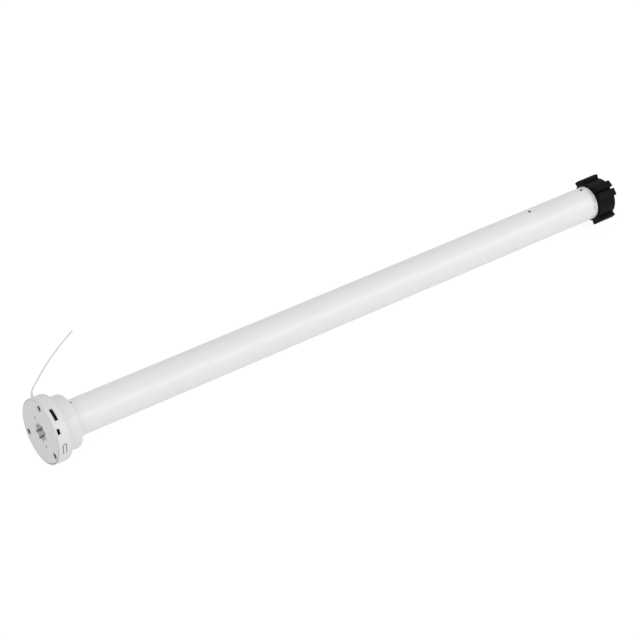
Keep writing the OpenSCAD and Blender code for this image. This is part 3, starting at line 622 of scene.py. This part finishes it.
def new_tree(name, inputs):
    """Start a geometry tree with a geometry input and output and named inputs.

    Returns the tree and its input node.
    """
    tree = bpy.data.node_groups.new(name, "GeometryNodeTree")
    tree.interface.new_socket("Geometry", in_out="OUTPUT", socket_type="NodeSocketGeometry")
    tree.interface.new_socket("Geometry", in_out="INPUT", socket_type="NodeSocketGeometry")
    for label, kind in inputs.items():
        tree.interface.new_socket(label, in_out="INPUT", socket_type="NodeSocket" + kind)
    return tree, add(tree, "NodeGroupInput")


def close_tree(tree, given, geometry):
    """End a tree: smooth faces with sharp edges kept, instances made real, and the material set."""
    smooth = add(tree, "GeometryNodeSetShadeSmooth", {"domain": "FACE"}, {"Geometry": geometry})
    angle = add(tree, "GeometryNodeInputMeshEdgeAngle")
    sharp = add(tree, "FunctionNodeCompare", {"operation": "GREATER_THAN", 1: SHARP},
                {0: angle.outputs["Unsigned Angle"]})
    crisp = add(tree, "GeometryNodeSetShadeSmooth", {"domain": "EDGE", "Shade Smooth": False},
                {"Geometry": smooth.outputs["Geometry"], "Selection": sharp.outputs["Result"]})
    real = add(tree, "GeometryNodeRealizeInstances", links={"Geometry": crisp.outputs["Geometry"]})
    painted = add(tree, "GeometryNodeSetMaterial", links={
        "Geometry": real.outputs["Geometry"], "Material": given.outputs["Material"]})
    add(tree, "NodeGroupOutput", links={"Geometry": painted.outputs["Geometry"]})


def on_points(tree, given, shape):
    """Set a shape on each point of the piece, with its Z along the point's aim."""
    aim = add(tree, "GeometryNodeInputNamedAttribute", {"data_type": "FLOAT_VECTOR", "Name": "aim"})
    turn = add(tree, "FunctionNodeAlignRotationToVector", {"axis": "Z"}, {"Vector": aim.outputs["Attribute"]})
    spread = add(tree, "GeometryNodeInstanceOnPoints", links={
        "Points": given.outputs["Geometry"], "Instance": shape, "Rotation": turn.outputs["Rotation"]})
    real = add(tree, "GeometryNodeRealizeInstances", links={"Geometry": spread.outputs["Instances"]})
    return real.outputs["Geometry"]


def grown(name, tree, values, mesh):
    """Run a geometry tree on a mesh with these input values and keep the result as a plain mesh."""
    piece = new_object(name, mesh)
    grow = piece.modifiers.new(tree.name, "NODES")
    grow.node_group = tree
    for item in tree.interface.items_tree:
        if item.item_type == "SOCKET" and item.in_out == "INPUT" and item.name in values:
            grow[item.identifier] = values[item.name]
    plain_mesh(piece)
    return piece


def sleeve_tree():
    """A drawn tube along X, with a stake slot at each point.

    A rectangle of the wall is carried round a circle, and the slots are cut from it.
    """
    tree, given = new_tree("Drawn sleeve", {
        "Outer radius": "Float", "Wall": "Float", "Start": "Float", "End": "Float", "Segments": "Int",
        "Stake size": "Vector", "Material": "Material"})
    ends = {0: given.outputs["End"], 1: given.outputs["Start"]}
    half = add(tree, "ShaderNodeMath", {"operation": "MULTIPLY", 1: 0.5}, {0: given.outputs["Wall"]})
    middle = add(tree, "ShaderNodeMath", {"operation": "SUBTRACT"},
                 {0: given.outputs["Outer radius"], 1: half.outputs[0]})
    length = add(tree, "ShaderNodeMath", {"operation": "SUBTRACT"}, ends)
    total = add(tree, "ShaderNodeMath", {"operation": "ADD"}, ends)
    centre = add(tree, "ShaderNodeMath", {"operation": "MULTIPLY", 1: 0.5}, {0: total.outputs[0]})
    ring = add(tree, "GeometryNodeCurvePrimitiveCircle", links={
        "Resolution": given.outputs["Segments"], "Radius": middle.outputs[0]})
    wall = add(tree, "GeometryNodeCurvePrimitiveQuadrilateral", links={
        "Width": given.outputs["Wall"], "Height": length.outputs[0]})
    swept = add(tree, "GeometryNodeCurveToMesh", links={
        "Curve": ring.outputs["Curve"], "Profile Curve": wall.outputs["Curve"]})
    place = add(tree, "ShaderNodeCombineXYZ", links={"X": centre.outputs[0]})
    laid = add(tree, "GeometryNodeTransform", {"Rotation": (0, math.pi / 2, 0)}, {
        "Geometry": swept.outputs["Mesh"], "Translation": place.outputs["Vector"]})
    slot = add(tree, "GeometryNodeMeshCube", links={"Size": given.outputs["Stake size"]})
    slots = on_points(tree, given, slot.outputs["Mesh"])
    cut = add(tree, "GeometryNodeMeshBoolean", {"operation": "DIFFERENCE", "solver": "EXACT"}, {
        "Mesh 1": laid.outputs["Geometry"], "Mesh 2": slots})
    close_tree(tree, given, cut.outputs["Mesh"])
    return tree


def screw_tree():
    """Cross-head screws, one at each point, with the head's top at the point and facing along its aim.

    The head is domed by the height of its crown, and the arms of the recess reach half its height down.
    """
    arm_length, arm_width, dome_power = 1.25, 0.3, 3.0
    tree, given = new_tree("Cross-head screws", {
        "Head radius": "Float", "Head height": "Float", "Crown": "Float", "Material": "Material"})
    head_r, head_h = given.outputs["Head radius"], given.outputs["Head height"]
    head = add(tree, "GeometryNodeMeshCylinder", {"Vertices": 40, "Side Segments": 1, "Fill Segments": 6},
               {"Radius": head_r, "Depth": head_h})
    half = add(tree, "ShaderNodeMath", {"operation": "MULTIPLY", 1: 0.5}, {0: head_h})
    place = add(tree, "GeometryNodeInputPosition")
    parts = add(tree, "ShaderNodeSeparateXYZ", links={"Vector": place.outputs["Position"]})
    flat = add(tree, "ShaderNodeCombineXYZ", links={"X": parts.outputs["X"], "Y": parts.outputs["Y"]})
    out = add(tree, "ShaderNodeVectorMath", {"operation": "LENGTH"}, {0: flat.outputs["Vector"]})
    share = add(tree, "ShaderNodeMath", {"operation": "DIVIDE"}, {0: out.outputs["Value"], 1: head_r})
    fall = add(tree, "ShaderNodeMath", {"operation": "POWER", 1: dome_power}, {0: share.outputs[0]})
    drop = add(tree, "ShaderNodeMath", {"operation": "MULTIPLY"},
               {0: fall.outputs[0], 1: given.outputs["Crown"]})
    lower = add(tree, "ShaderNodeMath", {"operation": "MULTIPLY_ADD", 1: -1.0},
                {0: drop.outputs[0], 2: half.outputs[0]})
    upper = add(tree, "FunctionNodeCompare", {"operation": "GREATER_THAN", 1: 0.0}, {0: parts.outputs["Z"]})
    level = add(tree, "GeometryNodeSwitch", {"input_type": "FLOAT"}, {
        "Switch": upper.outputs["Result"], "False": parts.outputs["Z"], "True": lower.outputs[0]})
    domed_at = add(tree, "ShaderNodeCombineXYZ", links={
        "X": parts.outputs["X"], "Y": parts.outputs["Y"], "Z": level.outputs[0]})
    domed = add(tree, "GeometryNodeSetPosition", links={
        "Geometry": head.outputs["Mesh"], "Position": domed_at.outputs["Vector"]})
    cut = add(tree, "GeometryNodeMeshBoolean", {"operation": "DIFFERENCE", "solver": "EXACT"},
              {"Mesh 1": domed.outputs["Geometry"]})
    reach = add(tree, "ShaderNodeMath", {"operation": "MULTIPLY", 1: arm_length}, {0: head_r})
    width = add(tree, "ShaderNodeMath", {"operation": "MULTIPLY", 1: arm_width}, {0: head_r})
    lift = add(tree, "ShaderNodeCombineXYZ", links={"Z": half.outputs[0]})
    for along, across in ((reach, width), (width, reach)):
        size = add(tree, "ShaderNodeCombineXYZ", links={
            "X": along.outputs[0], "Y": across.outputs[0], "Z": head_h})
        bar = add(tree, "GeometryNodeMeshCube", links={"Size": size.outputs["Vector"]})
        raised = add(tree, "GeometryNodeTransform", links={
            "Geometry": bar.outputs["Mesh"], "Translation": lift.outputs["Vector"]})
        tree.links.new(raised.outputs["Geometry"], cut.inputs["Mesh 2"])
    sink = add(tree, "ShaderNodeMath", {"operation": "MULTIPLY", 1: -0.5}, {0: head_h})
    down = add(tree, "ShaderNodeCombineXYZ", links={"Z": sink.outputs[0]})
    seated = add(tree, "GeometryNodeTransform", links={
        "Geometry": cut.outputs["Mesh"], "Translation": down.outputs["Vector"]})
    close_tree(tree, given, on_points(tree, given, seated.outputs["Geometry"]))
    return tree


def contact_tree():
    """A row of contact strips, one at each point."""
    tree, given = new_tree("Contact row", {"Strip size": "Vector", "Material": "Material"})
    strip = add(tree, "GeometryNodeMeshCube", links={"Size": given.outputs["Strip size"]})
    close_tree(tree, given, on_points(tree, given, strip.outputs["Mesh"]))
    return tree


def wire_tree():
    """A round wire along the lines of the piece, with flat ends."""
    tree, given = new_tree("Round wire", {"Radius": "Float", "Sides": "Int", "Material": "Material"})
    path = add(tree, "GeometryNodeMeshToCurve", links={"Mesh": given.outputs["Geometry"]})
    ring = add(tree, "GeometryNodeCurvePrimitiveCircle", links={
        "Resolution": given.outputs["Sides"], "Radius": given.outputs["Radius"]})
    swept = add(tree, "GeometryNodeCurveToMesh", {"Fill Caps": True}, {
        "Curve": path.outputs["Curve"], "Profile Curve": ring.outputs["Curve"]})
    close_tree(tree, given, swept.outputs["Mesh"])
    return tree


def screw_heads(name, node, tree, places, aims, radius, height_mm, crown_mm):
    """Grow cross-head screws at places, facing along their aims, to stand for a node of screws."""
    steel = finishes[SLOT[node]]
    heads = grown(name, tree, {
        "Head radius": radius, "Head height": height_mm * MM, "Crown": crown_mm * MM, "Material": steel},
        aimed_points(name, places, aims))
    settle(heads, node, steel)


# Studio


def backdrop_rays(tree):
    """One for the rays that see the backdrop: from the camera, off gloss and through glass."""
    rays = add(tree, "ShaderNodeLightPath")
    seen = add(tree, "ShaderNodeMath", {"operation": "MAXIMUM"},
               {0: rays.outputs["Is Camera Ray"], 1: rays.outputs["Is Glossy Ray"]})
    through = add(tree, "ShaderNodeMath", {"operation": "MAXIMUM"},
                  {0: seen.outputs[0], 1: rays.outputs["Is Transmission Ray"]})
    return through.outputs[0]


def make_floor(height, half, glow_strength, glow_share):
    """A pale floor that the camera sees as white, with the object's shadow kept on it."""
    mesh = bpy.data.meshes.new("floor")
    corners = [(-half, -half, height), (half, -half, height), (half, half, height), (-half, half, height)]
    mesh.from_pydata(corners, [], [(0, 1, 2, 3)])
    floor = new_object("floor", mesh)
    material = bpy.data.materials.new("floor_matt_white")
    material.use_nodes = True
    tree = material.node_tree
    tree.nodes.clear()
    paint = add(tree, "ShaderNodeBsdfDiffuse", {"Color": linear("#F2F2F2")})
    glow = add(tree, "ShaderNodeEmission", {"Color": linear("#FFFFFF"), "Strength": glow_strength})
    share = add(tree, "ShaderNodeMath", {"operation": "MULTIPLY", 1: glow_share}, {0: backdrop_rays(tree)})
    mixed = add(tree, "ShaderNodeMixShader", links={
        0: share.outputs[0], 1: paint.outputs["BSDF"], 2: glow.outputs["Emission"]})
    add(tree, "ShaderNodeOutputMaterial", links={"Surface": mixed.outputs["Shader"]})
    mesh.materials.append(material)


def make_world(strength):
    """An even white sky: white where it is seen, and at the ambient strength as light."""
    world = bpy.data.worlds.new("studio")
    bpy.context.scene.world = world
    world.use_nodes = True
    tree = world.node_tree
    tree.nodes.clear()
    level = add(tree, "ShaderNodeMapRange", {"To Min": strength, "To Max": 1.0},
                {"Value": backdrop_rays(tree)})
    sky = add(tree, "ShaderNodeBackground", {"Color": linear("#FFFFFF")},
              {"Strength": level.outputs["Result"]})
    add(tree, "ShaderNodeOutputWorld", links={"Surface": sky.outputs["Background"]})


def face_target(thing, place, target):
    """Put a lamp or a camera at a place, looking at a target."""
    thing.location = place
    thing.rotation_euler = (Vector(target) - Vector(place)).to_track_quat("-Z", "Y").to_euler()


def make_lamp(name, power, place, target, size):
    """A softbox that points at a target."""
    light = bpy.data.lights.new(name, "AREA")
    light.energy = power
    light.shape = "RECTANGLE"
    light.size, light.size_y = size
    face_target(new_object(name, light), place, target)


# Operators


class BLIND_OT_finishes(bpy.types.Operator):
    """Make the finishes and put one on every CAD node"""

    bl_idname = "blind.finishes"
    bl_label = "Finishes"

    def execute(self, context):
        finishes.update(make_finishes(context.scene.blind_motor.finish))
        for node, piece in frame["nodes"].items():
            piece.data.materials.clear()
            piece.data.materials.append(finishes[SLOT[node]])
        return {"FINISHED"}


class BLIND_OT_stage(bpy.types.Operator):
    """Set the floor, the light and the camera"""

    bl_idname = "blind.stage"
    bl_label = "Stage"

    floor_half = 3.0
    floor_glow = 1.08
    floor_glow_share = 0.85
    key_place = (1.0, -1.18, 0.74)
    key_target = (0.24, 0, 0)
    key_size = (1.8, 0.9)
    fill_place = (-0.72, -0.72, 1.0)
    fill_target = (0.1, 0, 0)
    fill_size = (1.0, 1.0)
    sensor_mm = 36
    view_depth = 20

    def execute(self, context):
        settings = context.scene.blind_motor.stage
        scene = context.scene
        scene.view_settings.view_transform = "Standard"
        make_floor(cad_box[0][2], self.floor_half, self.floor_glow, self.floor_glow_share)
        make_world(settings.ambient)
        make_lamp("key", settings.key, self.key_place, self.key_target, self.key_size)
        make_lamp("fill", settings.fill, self.fill_place, self.fill_target, self.fill_size)
        camera = bpy.data.cameras.new("camera")
        camera.lens = settings.lens
        camera.sensor_width = self.sensor_mm
        camera.clip_end = self.view_depth
        scene.camera = new_object("camera", camera)
        face_target(scene.camera, settings.eye, settings.target)
        return {"FINISHED"}


class BLIND_OT_antenna(bpy.types.Operator):
    """Sweep the antenna wire along its route and round its boot"""

    bl_idname = "blind.antenna"
    bl_label = "Antenna"

    route_steps = 4
    wire_sides = 20

    def execute(self, context):
        edge = context.scene.blind_motor.edge
        diameter = context.scene.blind_motor.antenna.diameter
        route = [Vector((x * MM, ANTENNA_Y, z * MM)) for x, z in ANTENNA_ROUTE_MM]
        path = [route[0]] + smooth_route(route[1:], self.route_steps)
        lines = [(i, i + 1) for i in range(len(path) - 1)]
        wire = grown("antenna_whip", wire_tree(), {
            "Radius": diameter / 2, "Sides": self.wire_sides, "Material": finishes["antenna_pvc"]},
            points_mesh("antenna_whip", path, lines))
        settle(wire, "antenna_wire", finishes["antenna_pvc"])
        boot = softened("antenna_boot", 2 * edge.shell, finishes["white_plastic"])
        return {"FINISHED"}


class BLIND_OT_tube(bpy.types.Operator):
    """Draw the tube with its stake slots"""

    bl_idname = "blind.tube"
    bl_label = "Tube"

    stake_mm = 463
    stake_turns = (78.5, 258.5)
    stake_size_mm = (0.9, 3.6, 4)

    def execute(self, context):
        sizes = context.scene.blind_motor.tube
        places = [around(t, TUBE_HIGH[2], self.stake_mm * MM) for t in self.stake_turns]
        aims = [around(t, 1, 0) for t in self.stake_turns]
        tube = grown("motor_tube_drawn", sleeve_tree(), {
            "Outer radius": TUBE_HIGH[2], "Wall": sizes.wall, "Start": TUBE_LOW[0], "End": TUBE_HIGH[0],
            "Segments": sizes.segments, "Stake size": tuple(v * MM for v in self.stake_size_mm),
            "Material": finishes["white_paint"]}, aimed_points("motor_tube_drawn", places, aims))
        settle(tube, "motor_tube", finishes["white_paint"])
        return {"FINISHED"}


class BLIND_OT_shells(bpy.types.Operator):
    """Round the edges of the head, crown and nose, sink the crown's panels and paint shade into the star's
    points
    """

    bl_idname = "blind.shells"
    bl_label = "Shells"

    # Where the painted shade lies in the star: radii and depths in mm.
    star_shade_mm = {
        "valley_mm": 5.3, "point_mm": 6.3, "edge_mm": 7.0, "fade_mm": 0.3, "face_mm": 0.02, "depth_mm": 0.2}
    panel_turns = (27.6, 207.6)
    panel_width_mm = 10.7
    panel_floor_mm = 17.6
    panel_start_mm = 13.25
    panel_past_mm = 1

    def execute(self, context):
        edge = context.scene.blind_motor.edge.shell
        star_shade = context.scene.blind_motor.finish.star_shade
        for node in ("head_housing", "setting_button", "gearbox_nose"):
            softened(node, edge, finishes[SLOT[node]])
        crown_end, _, crown_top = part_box("crown")[1]
        past = self.panel_past_mm * MM
        panels = panel_blocks(self.panel_turns, self.panel_width_mm * MM, self.panel_floor_mm * MM,
                              crown_top + past, self.panel_start_mm * MM, crown_end + past)
        softened("crown", edge, finishes[SLOT["crown"]], sunk=panels)
        for node in ("front_cover", "bracket_socket"):
            softened(node, edge, shade_star_points(finishes[SLOT[node]], star_shade, **self.star_shade_mm))
        return {"FINISHED"}


class BLIND_OT_wheel(bpy.types.Operator):
    """Round the edges of the drive wheel"""

    bl_idname = "blind.wheel"
    bl_label = "Drive wheel"

    def execute(self, context):
        softened("drive_wheel", context.scene.blind_motor.edge.wheel, finishes["black_nylon"], segments=3)
        return {"FINISHED"}


class BLIND_OT_screws(bpy.types.Operator):
    """Set the cross-head screws of the tube and of the cover"""

    bl_idname = "blind.screws"
    bl_label = "Screws"

    tube_rows_mm = (23.3, 410.7, 460.6)
    tube_turns = (-4, 176)
    tube_top_mm = 12.9
    tube_height_mm = 1.1
    tube_crown_mm = 0.25
    cover_turns = (0, 120, 240)
    cover_at_mm = 18.6
    cover_top_mm = 0.5
    cover_height_mm = 1.5
    cover_crown_mm = 0.3

    def execute(self, context):
        sizes = context.scene.blind_motor.screw
        tree = screw_tree()
        places = [around(t, self.tube_top_mm * MM, x * MM)
                  for x in self.tube_rows_mm for t in self.tube_turns]
        aims = [Vector((0, p.y, p.z)).normalized() for p in places]
        screw_heads("tube_screw_heads", "tube_screws", tree, places, aims,
                    sizes.tube_head, self.tube_height_mm, self.tube_crown_mm)
        places = [around(t, self.cover_at_mm * MM, self.cover_top_mm * MM) for t in self.cover_turns]
        aims = [Vector((-1, 0, 0))] * len(places)
        screw_heads("cover_screw_heads", "cover_screws", tree, places, aims,
                    sizes.cover_head, self.cover_height_mm, self.cover_crown_mm)
        return {"FINISHED"}


class BLIND_OT_port(bpy.types.Operator):
    """Finish the charging port: the shell, and the contacts on its tongue"""

    bl_idname = "blind.port"
    bl_label = "Charging port"

    turn = 31
    station_mm = 3.9
    mouth_mm = 21.8
    contact_at_mm = 19.2
    contact_lift_mm = 0.36
    contact_size_mm = (0.24, 0.24, 2.6)
    pitch_mm = 0.5
    count = 12

    def execute(self, context):
        out = around(self.turn, 1, 0)
        side = around(self.turn + 90, 1, 0)
        softened("usb_shell", context.scene.blind_motor.edge.metal, steel_port_shell(out, self.mouth_mm * MM))
        places = []
        for face in (-1, 1):
            station = Vector(((self.station_mm + face * self.contact_lift_mm) * MM, 0, 0))
            for i in range(self.count):
                offset = (i - (self.count - 1) / 2) * self.pitch_mm * MM
                places.append(out * self.contact_at_mm * MM + side * offset + station)
        gold = contact_gold()
        contacts = grown("charging_contacts", contact_tree(), {
            "Strip size": tuple(v * MM for v in self.contact_size_mm), "Material": gold},
            aimed_points("charging_contacts", places, [out] * len(places)))
        contacts.data.materials.clear()
        contacts.data.materials.append(gold)
        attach(contacts, BODY["usb_tongue"])
        return {"FINISHED"}


OPERATORS = (
    BLIND_OT_finishes, BLIND_OT_stage, BLIND_OT_antenna, BLIND_OT_tube, BLIND_OT_shells, BLIND_OT_wheel,
    BLIND_OT_screws, BLIND_OT_port,
)


class BLIND_PT_motor(bpy.types.Panel):
    """Lists the settings and steps of the blind motor"""

    bl_idname = "BLIND_PT_motor"
    bl_label = "Blind motor"
    bl_space_type = "VIEW_3D"
    bl_region_type = "UI"
    bl_category = "Blind motor"

    def draw(self, context):
        for part in MotorSettings.__annotations__:
            group = getattr(context.scene.blind_motor, part)
            box = self.layout.box()
            for name in group.__annotations__:
                box.prop(group, name)
        for operator in OPERATORS:
            self.layout.operator(operator.bl_idname)


CLASSES = (
    FinishSettings, EdgeSettings, TubeSettings, ScrewSettings, AntennaSettings, StageSettings, MotorSettings,
    *OPERATORS, BLIND_PT_motor,
)


def register():
    for cls in CLASSES:
        bpy.utils.register_class(cls)
    bpy.types.Scene.blind_motor = PointerProperty(type=MotorSettings)


def unregister():
    del bpy.types.Scene.blind_motor
    for cls in reversed(CLASSES):
        bpy.utils.unregister_class(cls)


def main():
    register()
    bpy.ops.blind.finishes()
    bpy.ops.blind.stage()
    bpy.ops.blind.antenna()
    bpy.ops.blind.tube()
    bpy.ops.blind.shells()
    bpy.ops.blind.wheel()
    bpy.ops.blind.screws()
    bpy.ops.blind.port()


if __name__ == "__main__":
    main()
